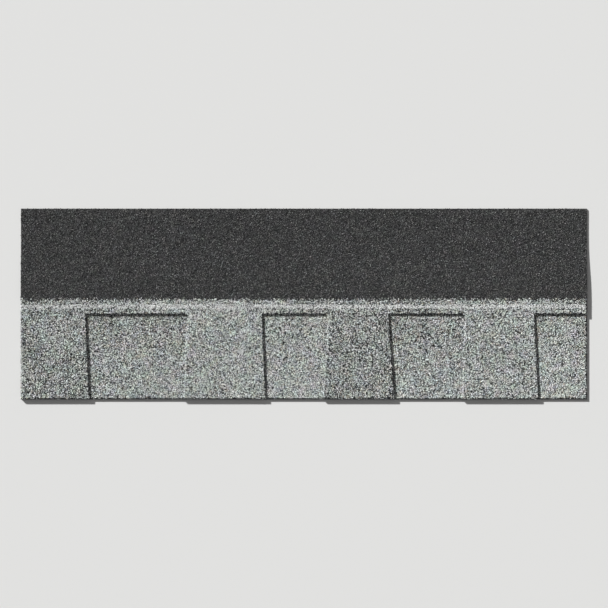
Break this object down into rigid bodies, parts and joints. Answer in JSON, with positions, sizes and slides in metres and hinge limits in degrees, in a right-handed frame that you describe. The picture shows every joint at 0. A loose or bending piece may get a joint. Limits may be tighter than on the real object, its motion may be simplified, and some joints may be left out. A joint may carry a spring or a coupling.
{
  "type": "laminated asphalt shingle",
  "caption": "Granule-faced asphalt roofing shingle: a sheet with flared teeth and open windows, glued over a plain shim strip, with sealant dabs and a release film on its back.",
  "frame": {"origin": "under the middle of the shingle's plan, on the level floor that it lies on", "axes": "+X along the shingle, to the right as seen on the roof; +Y up the roof, from the toothed butt edge to the plain head edge; +Z out of the granule face, towards the weather"},
  "size_m": [1, 0.337, 0.006],
  "materials": {
    "tooth_sheet": "mineral granules on asphalt, matte",
    "shim_strip": "mineral granules on asphalt, matte",
    "laminating_adhesive": "soft asphalt, glossy",
    "self_seal_adhesive": "soft asphalt, glossy",
    "release_film": "clear film, glossy"
  },
  "bodies": {
    "root": {"tooth_sheet": "tooth_sheet", "shim_strip": "shim_strip", "laminating_adhesive": "laminating_adhesive", "self_seal_adhesive": "self_seal_adhesive", "release_film": "release_film"}
  },
  "joints": []
}
